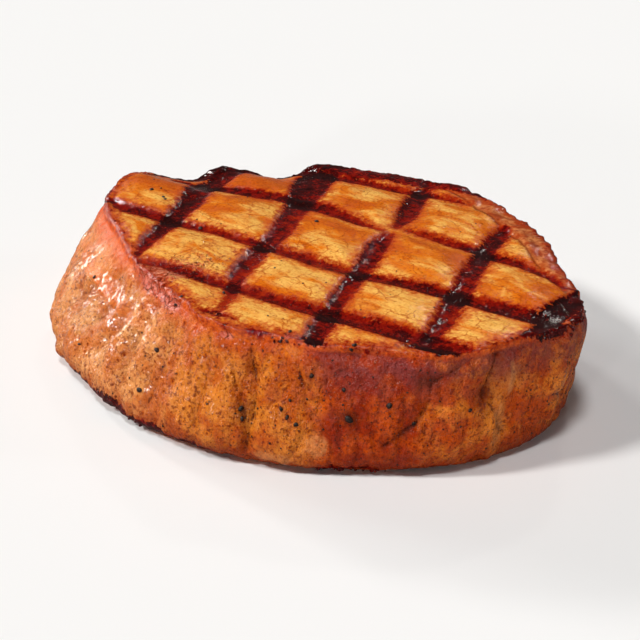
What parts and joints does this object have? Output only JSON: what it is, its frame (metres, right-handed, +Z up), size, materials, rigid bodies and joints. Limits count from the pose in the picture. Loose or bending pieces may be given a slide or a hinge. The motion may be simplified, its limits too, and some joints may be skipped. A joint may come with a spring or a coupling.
{
  "type": "grilled pork chop",
  "caption": "Thick boneless grilled pork loin chop: an oval slab of browned meat with crossed dark grate marks, a crowned top, a swollen creased flank and a flat base.",
  "frame": {"origin": "middle of the chop's bounding box, on the flat base it lies on", "axes": "+Z up through the thickness, +X along the chop's long way, +Y across it"},
  "size_m": [0.1272, 0.0968, 0.0291],
  "materials": {
    "grilled_meat": "glossy browned meat with dark crossed grate marks"
  },
  "bodies": {
    "root": {"pork_chop": "grilled_meat"}
  },
  "joints": []
}
